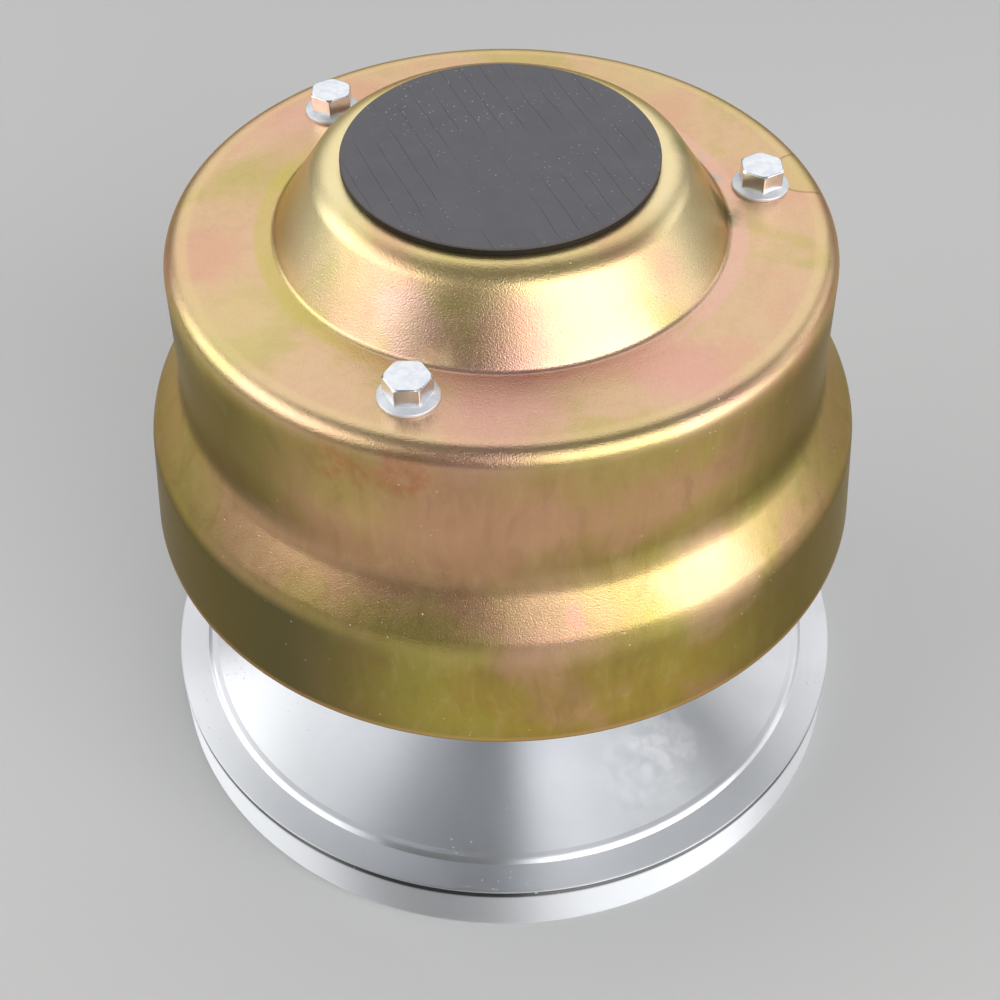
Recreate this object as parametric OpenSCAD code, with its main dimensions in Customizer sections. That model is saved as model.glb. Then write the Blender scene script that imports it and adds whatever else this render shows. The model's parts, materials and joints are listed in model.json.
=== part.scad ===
// Centrifugal drive clutch for a belt transmission: a ribbed fixed sheave on a tapered-bore post,
// and a moveable sheave under a plated bell cover that three flyweights push down the post.
// The base of the fixed sheave lies on z = 0, and the shaft axis is the Z axis.

/* [Fixed sheave] */
// Outer radius of the fixed sheave
sheave_r = 99; // [97:0.5:108]
// Height of the flat land at the rim
rim_h = 17.9; // [16.5:0.1:24]
// Radial thickness of the rim wall
rim_wall = 6; // [4:0.5:9]
// Height of the bevel under the rim
rim_bevel_h = 2.2; // [1:0.1:4]
// Width of the bevel under the rim
rim_bevel_w = 0.8; // [0.4:0.1:2]
// Height of the groove turned into the rim wall
rim_groove_h = 2.4; // [1:0.1:3]
// Depth of the groove turned into the rim wall
rim_groove_d = 1.2; // [0.6:0.1:2.5]
// Height of the sloping side under the groove
rim_groove_slope = 1.3; // [0.2:0.1:2]
// Height of the lip left above the groove
rim_lip_h = 0.5; // [0.4:0.1:1.5]
// Width of the flat land, from the rim to the foot of the step
land_w = 8.5; // [5:0.5:11]
// Width of the rounded step between the land and the belt face
step_w = 2.5; // [1.5:0.5:5]
// Height of the rounded step
step_h = 1.1; // [0.6:0.1:2]
// Angle of both belt faces from flat, in degrees
belt_angle = 13; // [11:0.5:14]
// Radius at which both belt faces begin
face_in_r = 24; // [23.5:0.5:27]
// Thickness of both sheave webs, measured along the shaft
web_t = 7; // [5:0.5:8]
// Radius of the boss behind the fixed sheave
boss_r = 30; // [28:0.5:36]
// Number of ribs behind the fixed sheave
rib_count = 12; // [6:1:18]
// Thickness of each rib behind the fixed sheave
rib_t = 4; // [2.5:0.5:6]
// Height of the rib edges above the base
rib_rise = 4; // [2:0.5:8]

/* [Post] */
// Radius of the post that the bushing slides on
post_r = 14; // [13:0.25:14.5]
// Radius of the post where the fixed sheave is pressed on
press_r = 19; // [17:0.5:20]
// Radius of the collar under the fixed sheave
collar_r = 23.5; // [22:0.5:26]
// Height of the collar under the fixed sheave
collar_h = 4; // [2.5:0.5:8]
// Radius of the post in the spider and its nut
stem_r = 12; // [11:0.25:12.5]
// Radius of the taper's mouth
taper_mouth_r = 12.5; // [11:0.25:14]
// Depth of the taper
taper_len = 42; // [34:1:50]
// Loss of diameter per millimetre of taper
taper_rate = 0.1; // [0.06:0.01:0.12]
// Radius of the bore for the crankshaft bolt
bolt_bore_r = 5.25; // [4.5:0.25:6.5]
// Radius of the puller thread at the top of the post
puller_r = 7.2; // [6.75:0.1:8.5]
// Depth of the puller thread
puller_len = 18; // [10:1:25]
// Height of the post end above the nut
post_over = 1; // [0.5:0.25:2]

/* [Idler] */
// Gap between the belt faces at their inner ends, clutch open
belt_gap = 31.2; // [28:0.2:36]
// Height of the seat above the inner end of the fixed belt face
seat_rise = 0.5; // [0.2:0.1:1]
// Thickness of the thrust washer under the idler
thrust_t = 1; // [0.8:0.1:2]
// Outer radius of the free-turning idler sleeve
idler_r = 22; // [21:0.25:22.2]
// Wall of the needle bearing under the idler sleeve
needle_wall = 3.5; // [2.5:0.25:4.5]
// Distance of the bearing's top below the moveable belt face
idler_drop = 3.3; // [2.5:0.1:5]
// Thickness of the washer that the spring stands on
seat_t = 2; // [1.5:0.25:3]

/* [Spring] */
// Diameter of the spring wire
wire_d = 3.6; // [3:0.1:4]
// Number of spring turns
spring_turns = 5; // [4:0.5:6]
// Mean radius of the spring
spring_r = 18.6; // [17.5:0.1:19]
// Space left in the spring at full shift
spring_spare = 1.1; // [0.5:0.1:4]

/* [Moveable sheave] */
// Distance that the moveable sheave travels along the post
shift_travel = 24; // [20:0.5:26]
// Outer radius of the moveable sheave
move_r = 91.5; // [90.5:0.5:94]
// Height of the band round the moveable sheave
move_band_h = 8; // [6:0.5:10]
// Width of the band round the moveable sheave
move_band_w = 4; // [3:0.5:6]
// Gap round the idler inside the moveable hub
pocket_gap = 0.8; // [0.6:0.1:1.2]
// Wall of the moveable hub
hub_wall = 4.2; // [3.5:0.1:5]
// Length of the bushing in the moveable hub
bushing_len = 18; // [14:0.5:22]
// Wall of the bushing in the moveable hub
bushing_wall = 3; // [2:0.25:3.5]
// Thickness of the washer between the bushing and the spring
push_t = 1.2; // [1:0.1:1.5]
// Fillet inside the moveable hub, above the spring
pocket_round = 1; // [0.5:0.1:1.5]
// Outer radius of the three cast towers
tower_r = 75; // [75:0.5:77]
// Wall of the cast towers
tower_wall = 5; // [3.5:0.5:6]
// Thickness of the tower ends that the drive buttons run on
tower_end_t = 6; // [4:0.5:8]
// Radius at which the tower ends begin
tower_in_r = 48; // [45:0.5:50]
// Height of the tower ends above the drive buttons at full shift
tower_over = 3; // [1:0.5:5]
// Radius of the bosses that the cover is bolted to
bolt_boss_r = 8; // [7.5:0.25:9]
// Thickness of the ribs on the back of the moveable sheave
back_rib_t = 4; // [3:0.5:5]
// Angle of each back rib from the middle of its tower
back_rib_turn = 22; // [18:1:26]
// Height of the back ribs at the hub
back_rib_in_h = 30; // [20:1:36]
// Height of the back ribs at the towers
back_rib_out_h = 8; // [5:0.5:14]

/* [Flyweights] */
// Radius of the circle that the weight pins touch
pivot_r = 63; // [62.5:0.25:63.5]
// Height of the weight pins above the back of the sheave
pivot_rise = 7; // [6.8:0.1:8]
// Radius of the weight pins
weight_pin_r = 3.5; // [3:0.1:4]
// Wall of the bushing in each flyweight
weight_bushing_wall = 1.5; // [1:0.1:1.7]
// Radius of the eye of each flyweight
weight_eye_r = 6; // [5.8:0.1:6.4]
// Half of the width of each flyweight
weight_half_w = 7.1; // [6:0.1:7.6]
// Depth of each flyweight behind the tip of its cam face
weight_depth = 7.5; // [6.5:0.1:8]
// Angle of each flyweight from the outward direction, clutch open
weight_rest = 115; // [112:0.5:116]
// Swing of each flyweight over the full shift
weight_swing = 28; // [27:0.5:29]
// Thickness of the ears that hold the weight pins
ear_t = 5; // [4:0.5:6]
// Radius of the ears round the weight pins
ear_r = 6; // [5.5:0.1:6.5]
// Width that the foot of each ear gains on each side
ear_foot = 3; // [1:0.5:4]
// Radius of the rivet through each flyweight
rivet_r = 3.6; // [2.5:0.1:4]
// Height of the rivet heads
rivet_head_h = 0.8; // [0.5:0.1:1.1]

/* [Spider] */
// Radius of the spider's hub
spider_r = 21; // [20:0.5:24]
// Height of the spider's hub
spider_h = 15; // [12:0.5:18]
// Gap between the spider and the moveable hub, clutch open
spider_gap = 1; // [0.5:0.1:2]
// Half of the slot between the two cheeks of each arm
cheek_in = 8.5; // [8:0.1:9]
// Height of the cheeks' upper edge above the hub's underside
cheek_rise = 7; // [6:0.25:10]
// Thickness of each cheek
cheek_t = 5; // [4:0.25:6]
// Round of the cheeks' upper edge
cheek_round = 12; // [8:1:14]
// Distance of the roller pins from the shaft axis
roller_pos_r = 68; // [67.5:0.1:68.5]
// Depth of the roller pins below the underside of the hub
roller_drop = 17; // [16:0.25:18]
// Radius of the rollers
roller_r = 8; // [7.5:0.1:8.3]
// Radius of the roller pins
roller_pin_r = 4; // [3.5:0.1:4.5]
// Wall of the bushing in each roller
roller_bushing_wall = 1.5; // [1:0.1:2]
// Radius of the eyes at the ends of the cheeks
cheek_eye_r = 6.5; // [6.5:0.1:7]
// Distance of the drive buttons from the shaft axis
button_pos_r = 57; // [55:0.5:57]
// Height of the drive buttons above the roller pins
button_rise = 7; // [6.5:0.25:8]
// Radius of the drive buttons
button_r = 6; // [5:0.1:6.2]
// Thickness of the drive buttons
button_t = 3.8; // [2.5:0.1:5]
// Thickness of the clips on the pins
clip_t = 1; // [0.8:0.1:1.5]
// Rim of the clips round the pins
clip_w = 1.8; // [1:0.1:2.2]
// Size across the flats of the spider nut
nut_flats = 36; // [32:0.5:41]
// Height of the spider nut
nut_h = 7; // [5:0.5:8]
// Height of the bevel round the spider nut
nut_bevel = 2; // [1:0.1:3]

/* [Cover] */
// Thickness of the cover's sheet
cover_t = 1.6; // [1.2:0.1:2]
// Gap between the moveable sheave and the cover's lip
lip_gap = 2.4; // [1.5:0.1:4]
// Height of the cover's lip above the outer edge of the moveable belt face
lip_rise = 1.7; // [0.5:0.1:3]
// Width lost by the skirt up to its bend
skirt_lean = 2.7; // [1:0.1:4]
// Height of the skirt, lip to lower bend
skirt_h = 29.5; // [27:0.5:31]
// Height from the lip to the upper bend
neck_h = 44.5; // [42:0.5:48]
// Gap between the towers and the cover's upper wall
neck_gap = 6.7; // [5:0.1:8]
// Width lost by the upper wall up to its top round
neck_lean = 0.9; // [0.3:0.1:1.5]
// Radius of the round at the top of the wall
top_round = 4.8; // [4:0.1:6]
// Radius of the lower bend in the wall
skirt_round = 7; // [4:0.5:9]
// Radius of the upper, hollow bend in the wall
neck_round = 10; // [4:0.5:12]
// Room between the spider arms and the cover's flat ring at full shift
ring_room = 5.1; // [2:0.1:8]
// Gap between the bolt flanges and the foot of the raised cone
cone_gap = 3.5; // [2.5:0.1:4.5]
// Radius of the raised cone at its top
cone_top_r = 43.5; // [42:0.1:45]
// Height of the raised cone
cone_h = 18.7; // [17:0.1:22]
// Round at the base and the top of the cone
cone_round = 5; // [3:0.1:5.5]
// Radius of the opening in the top of the cover
cover_hole_r = 35; // [32:0.5:36]
// Radius of the dust plug's disc
cap_r = 38; // [37:0.1:39]
// Thickness of the dust plug's disc
cap_t = 1.8; // [1.2:0.1:3]
// Depth of the dust plug's skirt below its disc
cap_skirt_h = 5; // [3:0.5:6]
// Wall of the dust plug's skirt
cap_skirt_wall = 2.2; // [1.5:0.1:3]

/* [Bolts] */
// Radius of the circle that the cover bolts lie on
bolt_pos_r = 66.3; // [65.5:0.1:67.5]
// Direction of the first cover bolt, in degrees
bolt_az = 12; // [0:1:119]
// Radius of the cover bolts' shanks
shank_r = 3; // [2.5:0.1:3.5]
// Depth of the shanks below the cover
shank_len = 18; // [14:1:24]
// Radius of the flange under each bolt head
flange_r = 7.1; // [6.8:0.1:8]
// Thickness of the flange under each bolt head
flange_t = 1.6; // [1.2:0.1:2]
// Size across the flats of each bolt head
head_flats = 10; // [9:0.1:11]
// Height of each bolt head above the cover
head_h = 6.2; // [5.5:0.1:8]
// Height of the bevel that rounds off the corners of each bolt head
head_bevel = 0.6; // [0.4:0.1:1]
// How far the flat top of each bolt head reaches past the middle of its sides
head_top_w = 0.1; // [0.05:0.05:0.3]

/* [Fits] */
// Gap between pieces that turn or slide on each other
run_fit = 0.05; // [0.02:0.01:0.1]
// Gap between pieces that are pressed or screwed together
seat_fit = 0.02; // [0.01:0.01:0.05]
// Gap beside pieces that pass each other
side_gap = 0.3; // [0.2:0.05:0.4]
// Gap between the bolts and their holes in the cover
hole_gap = 0.3; // [0.2:0.05:0.6]

/* [Hidden] */
$fn = 96;

arms = 3;
arm_az = bolt_az + 180 / arms;
bury = 2;
small = 0.4;

// Fixed sheave, from the rim inwards
rim_in_r = sheave_r - rim_wall;
land_in_r = sheave_r - land_w;
face_out_r = land_in_r - step_w;
face_out_z = rim_h + step_h;
slope = tan(belt_angle);
function fixed_face_z(r) = face_out_z + (face_out_r - r) * slope;
function fixed_back_z(r) = fixed_face_z(r) - web_t;
seat_z = fixed_face_z(face_in_r) + seat_rise;

// Moveable sheave, open
move_face_r = min(face_out_r, move_r - 2);
function move_face_z(r) = fixed_face_z(face_in_r) + belt_gap + (r - face_in_r) * slope;
function move_back_z(r) = move_face_z(r) + web_t;

// Pieces stacked on the post
bearing_z = seat_z + thrust_t;
bearing_top = move_face_z(face_in_r) - idler_drop;
needle_r = post_r + needle_wall;
spring_z = bearing_top + seat_t;
pocket_r = idler_r + pocket_gap;
spring_top = spring_z + spring_turns * wire_d + shift_travel + spring_spare;
pocket_z = spring_top + push_t;
bushing_r = post_r + bushing_wall;
move_hub_r = pocket_r + hub_wall;
move_hub_z = pocket_z + bushing_len;
spider_z = move_hub_z + spider_gap;
nut_z = spider_z + spider_h;
post_z = nut_z + nut_h + post_over;

// Arms, rollers and buttons
roller_z = spider_z - roller_drop;
roller_half_w = cheek_in - side_gap;
cheek_out = cheek_in + cheek_t;
cheek_top = spider_z + cheek_rise;
button_z = roller_z + button_rise;
tower_face = cheek_out + button_t + side_gap;
tower_z = button_z + button_r + shift_travel + tower_over;

// Flyweights
pivot_z = move_back_z(pivot_r) + pivot_rise;
ear_in = weight_half_w + side_gap;
weight_bushing_r = weight_pin_r + weight_bushing_wall;

// Cover, from the lip upwards
boss_z = cheek_top + shift_travel + ring_room;
ring_z = boss_z + cover_t;
land_z = ring_z + cone_h;
lip_z = move_face_z(move_face_r) + lip_rise;
lip_r = move_r + lip_gap + cover_t;
neck_r = tower_r + neck_gap + cover_t;
cone_base_r = bolt_pos_r - flange_r - cone_gap;

// Unit vector along v
function unit(v) = v / norm(v);

// Points of the arc that rounds corner b of the path a, b, c
function corner(a, b, c, radius, steps = 5) =
    let (
        u = unit(a - b),
        v = unit(c - b),
        half = acos(u * v) / 2,
        first = b + u * radius / tan(half),
        last = b + v * radius / tan(half),
        middle = b + unit(u + v) * radius / sin(half),
        a0 = atan2(first.y - middle.y, first.x - middle.x),
        a1 = atan2(last.y - middle.y, last.x - middle.x),
        turn = a1 - a0 > 180 ? a1 - a0 - 360 : a1 - a0 < -180 ? a1 - a0 + 360 : a1 - a0
    )
    [for (i = [0:steps]) middle + radius * [cos(a0 + turn * i / steps), sin(a0 + turn * i / steps)]];

// Path through the corners [x, y, radius], each rounded by its radius
function rounded(path) =
    [for (i = [0:len(path) - 1])
        let (
            p = path[i],
            before = path[(i + len(path) - 1) % len(path)],
            after = path[(i + 1) % len(path)]
        )
        each p[2] > 0 ? corner([before.x, before.y], [p.x, p.y], [after.x, after.y], p[2]) : [[p.x, p.y]]];

// Open path moved sideways by t, to the right of its direction
function sideways(path, t) =
    [for (i = [0:len(path) - 1])
        let (
            back = unit(path[max(i, 1)] - path[max(i, 1) - 1]),
            ahead = unit(path[min(i + 1, len(path) - 1)] - path[min(i, len(path) - 2)]),
            n = unit([back.y + ahead.y, -back.x - ahead.x])
        )
        path[i] + n * t / (n * [back.y, -back.x])];

// Flat outline stood upright along the radius, from y0 to y1 across it
module upright(y0, y1) {
    translate([0, y1, 0])
        rotate([90, 0, 0])
            linear_extrude(y1 - y0)
                children();
}

// Round bar across the radius, centred on [r, z]
module cross_bar(r, z, radius, y0, y1) {
    translate([r, y1, z])
        rotate([90, 0, 0])
            cylinder(h = y1 - y0, r = radius);
}

// Ring about the shaft axis
module ring(r_in, r_out, z0, z1) {
    translate([0, 0, z0])
        difference() {
            cylinder(h = z1 - z0, r = r_out);
            translate([0, 0, -1])
                cylinder(h = z1 - z0 + 2, r = r_in);
        }
}

// Turns a piece to arm i
module at_arm(i) {
    rotate(arm_az + 360 / arms * i)
        children();
}

// Turns a piece to cover bolt i
module at_bolt(i) {
    rotate(bolt_az + 360 / arms * i)
        children();
}

// Belt sheave that is fixed to the post, with its ribbed back
module fixed_sheave() {
    groove_z = rim_h - rim_lip_h - rim_groove_h;
    profile = rounded([
        [sheave_r - rim_bevel_w, 0, 0],
        [sheave_r, rim_bevel_h, 0],
        [sheave_r, groove_z, 0],
        [sheave_r - rim_groove_d, groove_z + min(rim_groove_slope, rim_groove_h - small), 0],
        [sheave_r - rim_groove_d, rim_h - rim_lip_h, 0],
        [sheave_r, rim_h - rim_lip_h, 0],
        [sheave_r, rim_h, small / 2],
        [land_in_r, rim_h, step_h / 2],
        [face_out_r + step_w / 3, face_out_z, step_h / 2],
        [face_in_r, fixed_face_z(face_in_r), 0],
        [face_in_r - seat_rise, seat_z, 0],
        [press_r + seat_fit, seat_z, 0],
        [press_r + seat_fit, collar_h, 0],
        [collar_r + seat_fit, collar_h, 0],
        [collar_r + seat_fit, 0, 0],
        [boss_r, 0, 1],
        [boss_r, fixed_back_z(boss_r), bury],
        [rim_in_r, fixed_back_z(rim_in_r), bury],
        [rim_in_r, 0, 1]
    ]);
    color("gainsboro")
        union() {
            rotate_extrude()
                polygon(profile);
            for (i = [0:rib_count - 1])
                rotate(360 / rib_count * (i + 0.5))
                    upright(-rib_t / 2, rib_t / 2)
                        polygon([
                            [boss_r - 1, rib_rise],
                            [rim_in_r + 1, rib_rise],
                            [rim_in_r + 1, fixed_back_z(rim_in_r) + bury],
                            [boss_r - 1, fixed_back_z(boss_r) + bury]
                        ]);
        }
}

// Post with the crankshaft taper in its foot and a bolt bore right through it
module clutch_post() {
    taper_end_r = taper_mouth_r - taper_len * taper_rate / 2;
    color("silver")
        rotate_extrude()
            polygon([
                [taper_mouth_r, 0],
                [collar_r - small, 0],
                [collar_r, small],
                [collar_r, collar_h],
                [press_r, collar_h],
                [press_r, seat_z],
                [post_r, seat_z],
                [post_r, spider_z],
                [stem_r, spider_z],
                [stem_r, post_z - small],
                [stem_r - small, post_z],
                [puller_r, post_z],
                [puller_r, post_z - puller_len],
                [bolt_bore_r, post_z - puller_len],
                [bolt_bore_r, taper_len],
                [taper_end_r, taper_len]
            ]);
}

// Washer between the fixed sheave and the idler's bearing
module thrust_washer() {
    color("darkgray")
        ring(post_r + seat_fit, idler_r - small, seat_z, bearing_z);
}

// Needle bearing that the idler sleeve turns on
module needle_bearing() {
    color("lightsteelblue")
        ring(post_r + seat_fit, needle_r, bearing_z, bearing_top);
}

// Washer that the spring stands on
module lower_spring_seat() {
    color("darkgray")
        ring(post_r + seat_fit, idler_r + pocket_gap / 2, bearing_top, spring_z);
}

// Coil spring that pushes the sheaves apart, with closed ends
module shift_spring() {
    sides = 8;
    rings_per_turn = 18;
    rings = spring_turns * rings_per_turn;
    wire_r = wire_d / 2;
    bottom = spring_z + wire_r;
    rise = spring_top - spring_z - wire_d;
    closed = 0.1;
    lift = wire_d / rise * 0.9;
    function climb(t) =
        t < closed ? t / closed * lift * closed * 2 :
        t > 1 - closed ? 1 - (1 - t) / closed * lift * closed * 2 :
        lift * closed * 2 + (t - closed) / (1 - 2 * closed) * (1 - lift * closed * 4);
    points = [
        for (k = [0:rings])
            for (j = [0:sides - 1])
                let (
                    turn = 360 * k / rings_per_turn,
                    around = 360 * j / sides,
                    r = spring_r + wire_r * cos(around)
                )
                [r * cos(turn), r * sin(turn), bottom + rise * climb(k / rings) + wire_r * sin(around)]
    ];
    tube = [
        for (k = [0:rings - 1])
            for (j = [0:sides - 1])
                let (next = (j + 1) % sides)
                [k * sides + next, (k + 1) * sides + next, (k + 1) * sides + j, k * sides + j]
    ];
    ends = [
        [for (j = [sides - 1:-1:0]) j],
        [for (j = [0:sides - 1]) rings * sides + j]
    ];
    color("dimgray")
        polyhedron(points = points, faces = concat(tube, ends));
}

// Side outline of one spider cheek, from the hub down to the roller pin
module cheek_outline() {
    difference() {
        union() {
            polygon(rounded([
                [stem_r + bury, spider_z, 0],
                [move_hub_r + spider_gap, spider_z, 0],
                [roller_pos_r - cheek_eye_r - 1, roller_z - cheek_eye_r + 1, 4],
                [roller_pos_r, roller_z - cheek_eye_r, 0],
                [roller_pos_r + cheek_eye_r - small, roller_z + 2, 0],
                [button_pos_r + button_r, button_z + button_r, button_r],
                [button_pos_r - cheek_round / 2 - small * 10, cheek_top, cheek_round],
                [spider_r + bury, nut_z - 1, 4],
                [stem_r + bury, nut_z - 1, 0]
            ]));
            translate([roller_pos_r, roller_z])
                circle(r = cheek_eye_r);
        }
        translate([roller_pos_r, roller_z])
            circle(r = roller_pin_r + seat_fit);
    }
}

// Spider: a hub with three forked arms that carry the rollers
module spider() {
    color("lightslategray")
        difference() {
            union() {
                rotate_extrude()
                    polygon([
                        [stem_r + seat_fit, spider_z],
                        [spider_r - 1, spider_z],
                        [spider_r, spider_z + 1],
                        [spider_r, nut_z - 1],
                        [spider_r - 1, nut_z],
                        [stem_r + seat_fit, nut_z]
                    ]);
                for (i = [0:arms - 1])
                    at_arm(i) {
                        upright(cheek_in, cheek_out)
                            cheek_outline();
                        upright(-cheek_out, -cheek_in)
                            cheek_outline();
                    }
            }
            translate([0, 0, spider_z - 1])
                cylinder(h = spider_h + 2, r = stem_r + seat_fit);
        }
}

// Hexagonal nut that holds the spider on the post
module spider_nut() {
    nut_corner_r = nut_flats / 2 / cos(180 / 6);
    color("silver")
        translate([0, 0, nut_z])
            difference() {
                intersection() {
                    cylinder(h = nut_h, r = nut_corner_r, $fn = 6);
                    rotate_extrude()
                        polygon([
                            [0, 0],
                            [nut_corner_r + 1, 0],
                            [nut_corner_r + 1, nut_h - nut_bevel],
                            [nut_flats / 2 - small, nut_h],
                            [0, nut_h]
                        ]);
                }
                translate([0, 0, -1])
                    cylinder(h = nut_h + 2, r = stem_r + seat_fit);
            }
}

// Buttons on the outside of the cheeks, which run on the ends of the towers
module drive_buttons() {
    color("ivory")
        for (i = [0:arms - 1], side = [0, 1])
            at_arm(i)
                mirror([0, side, 0])
                    cross_bar(button_pos_r, button_z, button_r, cheek_out, cheek_out + button_t);
}

// Pins that the rollers turn on
module roller_pins() {
    pin_half = cheek_out + clip_t + small;
    color("silver")
        for (i = [0:arms - 1])
            at_arm(i)
                cross_bar(roller_pos_r, roller_z, roller_pin_r, -pin_half, pin_half);
}

// Clips on both ends of each roller pin
module roller_pin_clips() {
    clip_y = cheek_out;
    bore_r = roller_pin_r + seat_fit;
    color("dimgray")
        for (i = [0:arms - 1], side = [0, 1])
            at_arm(i)
                mirror([0, side, 0])
                    difference() {
                        cross_bar(roller_pos_r, roller_z, roller_pin_r + clip_w, clip_y, clip_y + clip_t);
                        cross_bar(roller_pos_r, roller_z, bore_r, clip_y - 1, clip_y + clip_t + 1);
                    }
}

// Sleeve that the slack belt rests on, free to turn
module idler_sleeve() {
    color("lightgray")
        rotate_extrude()
            polygon([
                [needle_r + run_fit, bearing_z + side_gap],
                [idler_r - small, bearing_z + side_gap],
                [idler_r, bearing_z + side_gap + small],
                [idler_r, bearing_top - side_gap - small],
                [idler_r - small, bearing_top - side_gap],
                [needle_r + run_fit, bearing_top - side_gap]
            ]);
}

// Plan of one tower: an arc wall, its two end walls and the boss for the cover bolt
module tower_plan() {
    intersection() {
        union() {
            difference() {
                circle(r = tower_r);
                circle(r = tower_r - tower_wall);
            }
            for (side = [0, 1])
                mirror([0, side])
                    rotate(180 / arms)
                        translate([tower_in_r, -tower_face - tower_end_t])
                            square([tower_r - tower_in_r, tower_end_t]);
        }
        circle(r = tower_r);
        rotate(180 / arms)
            translate([-tower_r, -tower_face - 2 * tower_r])
                square([2 * tower_r, 2 * tower_r]);
        rotate(-180 / arms)
            translate([-tower_r, tower_face])
                square([2 * tower_r, 2 * tower_r]);
    }
}

// Side outline of one ear that holds a weight pin
module ear_outline() {
    foot_in = pivot_r - ear_r - ear_foot;
    foot_out = pivot_r + ear_r + ear_foot;
    difference() {
        union() {
            translate([pivot_r, pivot_z])
                circle(r = ear_r);
            polygon([
                [foot_in, move_back_z(foot_in) - bury],
                [foot_out, move_back_z(foot_out) - bury],
                [pivot_r + ear_r - small, pivot_z + 1],
                [pivot_r - ear_r + small, pivot_z + 1]
            ]);
        }
        translate([pivot_r, pivot_z])
            circle(r = weight_pin_r + seat_fit);
    }
}

// Moveable belt sheave with its hub, towers, ears and ribs
module moveable_sheave() {
    edge_z = move_face_z(move_face_r);
    tower_foot = move_face_z(tower_r) + 1;
    profile = rounded([
        [pocket_r, move_face_z(face_in_r) + 1, 0],
        [face_in_r, move_face_z(face_in_r), 0],
        [move_face_r, edge_z, 1],
        [move_r, edge_z + 1, 1],
        [move_r, edge_z + move_band_h, small],
        [move_r - move_band_w, edge_z + move_band_h, small],
        [move_r - move_band_w - 1, move_back_z(move_r - move_band_w - 1), 1],
        [move_hub_r, move_back_z(move_hub_r), 3],
        [move_hub_r, move_hub_z - 1, 0],
        [move_hub_r - 1, move_hub_z, 0],
        [bushing_r + seat_fit, move_hub_z, 0],
        [bushing_r + seat_fit, pocket_z, 0],
        [pocket_r, pocket_z, pocket_round]
    ]);
    color("gainsboro")
        difference() {
            union() {
                rotate_extrude()
                    polygon(profile);
                for (i = [0:arms - 1]) {
                    at_bolt(i) {
                        translate([0, 0, tower_foot])
                            linear_extrude(tower_z - tower_foot)
                                tower_plan();
                        translate([bolt_pos_r, 0, tower_foot])
                            cylinder(h = boss_z - tower_foot, r = bolt_boss_r);
                        for (turn = [-back_rib_turn, back_rib_turn])
                            rotate(turn)
                                upright(-back_rib_t / 2, back_rib_t / 2)
                                    polygon([
                                        [move_hub_r - 1, move_back_z(move_hub_r) - bury],
                                        [tower_r - 1, move_back_z(tower_r) - bury],
                                        [tower_r - 1, move_back_z(tower_r) + back_rib_out_h],
                                        [move_hub_r - 1, move_back_z(move_hub_r) + back_rib_in_h]
                                    ]);
                    }
                    at_arm(i) {
                        upright(ear_in, ear_in + ear_t)
                            ear_outline();
                        upright(-ear_in - ear_t, -ear_in)
                            ear_outline();
                    }
                }
            }
            for (i = [0:arms - 1])
                at_bolt(i)
                    translate([bolt_pos_r, 0, boss_z - shank_len - 2 * bury])
                        cylinder(h = shank_len + 2 * bury + 1, r = shank_r + seat_fit);
        }
}

// Bushing that guides the moveable hub on the post
module sheave_bushing() {
    color("peru")
        ring(post_r + run_fit, bushing_r, pocket_z, move_hub_z);
}

// Washer under the bushing that the spring pushes on
module upper_spring_seat() {
    color("darkgray")
        ring(post_r + side_gap, pocket_r - pocket_round, spring_top, pocket_z);
}

// Outer path of the cover's sheet, from the lip to the opening at the top
function cover_path() =
    let (
        skirt_r = lip_r - skirt_lean,
        ends = [[lip_r, lip_z, 0], [cover_hole_r, land_z, 0]],
        bends = [
            [skirt_r, lip_z + skirt_h, skirt_round],
            [neck_r, lip_z + neck_h, neck_round],
            [neck_r - neck_lean, ring_z, top_round],
            [cone_base_r, ring_z, cone_round],
            [cone_top_r, land_z, cone_round]
        ],
        all = concat([ends[0]], bends, [ends[1]])
    )
    rounded(all);

// Plated bell cover, one sheet thick all over
module cover() {
    outer = cover_path();
    inner = sideways(outer, -cover_t);
    color("darkkhaki")
        difference() {
            rotate_extrude()
                polygon(concat(outer, [for (i = [len(inner) - 1:-1:0]) inner[i]]));
            for (i = [0:arms - 1])
                at_bolt(i)
                    translate([bolt_pos_r, 0, boss_z - 1])
                        cylinder(h = cover_t + 2, r = shank_r + hole_gap);
        }
}

// Flanged hexagon bolts that hold the cover to the towers
module cover_bolts() {
    turns = [30, 30, 0];
    corner_r = head_flats / 2 / cos(180 / 6);
    top_r = head_flats / 2 + head_top_w;
    color("silver")
        for (i = [0:arms - 1])
            at_bolt(i)
                translate([bolt_pos_r, 0, ring_z]) {
                    rotate_extrude()
                        polygon([
                            [0, -shank_len],
                            [shank_r - small, -shank_len],
                            [shank_r, -shank_len + small],
                            [shank_r, 0],
                            [flange_r, 0],
                            [flange_r, flange_t / 2],
                            [corner_r + small, flange_t],
                            [0, flange_t]
                        ]);
                    rotate(turns[i] - bolt_az - 360 / arms * i)
                        intersection() {
                            translate([0, 0, flange_t / 2])
                                cylinder(h = head_h - flange_t / 2, r = corner_r, $fn = 6);
                            rotate_extrude()
                                polygon([
                                    [0, 0],
                                    [2 * corner_r - top_r, 0],
                                    [2 * corner_r - top_r, head_h - 2 * head_bevel],
                                    [top_r, head_h],
                                    [0, head_h]
                                ]);
                        }
                }
}

// Pins that the flyweights swing on
module weight_pins() {
    pin_half = ear_in + ear_t + clip_t + small;
    color("silver")
        for (i = [0:arms - 1])
            at_arm(i)
                cross_bar(pivot_r, pivot_z, weight_pin_r, -pin_half, pin_half);
}

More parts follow.
